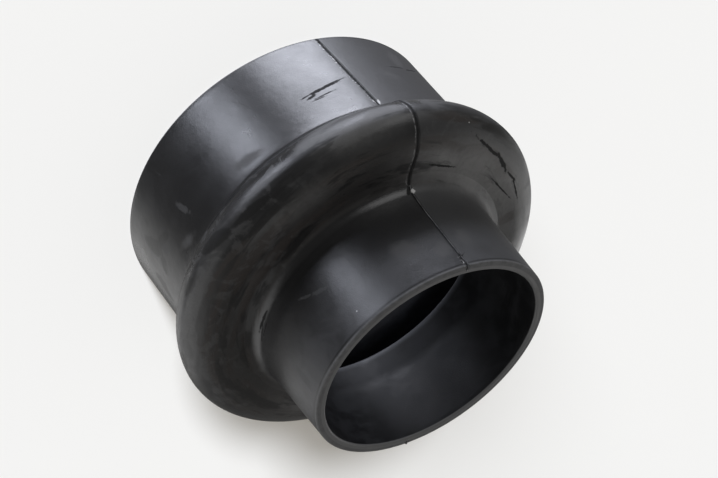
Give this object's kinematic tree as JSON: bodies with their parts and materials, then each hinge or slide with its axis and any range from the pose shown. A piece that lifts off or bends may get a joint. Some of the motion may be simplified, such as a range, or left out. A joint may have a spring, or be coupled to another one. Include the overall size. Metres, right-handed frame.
{
  "type": "flexible rubber pipe coupling",
  "caption": "Moulded rubber reducing pipe coupling: a wide plain cuff, a hollow rounded hump ending in a flat step wall, and a narrower plain cuff, open right through.",
  "frame": {"origin": "centre of the large rim, on the plane that the rim stands on", "axes": "+Z along the pipe from the large cuff to the small cuff; the mould's parting line runs down the -Y and +Y sides"},
  "size_m": [0.1834, 0.1842, 0.1308],
  "materials": {
    "moulded_rubber": "satin black moulded rubber with a dull grey bloom, scuffs and a fine parting line"
  },
  "bodies": {
    "root": {"rubber_coupling": "moulded_rubber"}
  },
  "joints": []
}
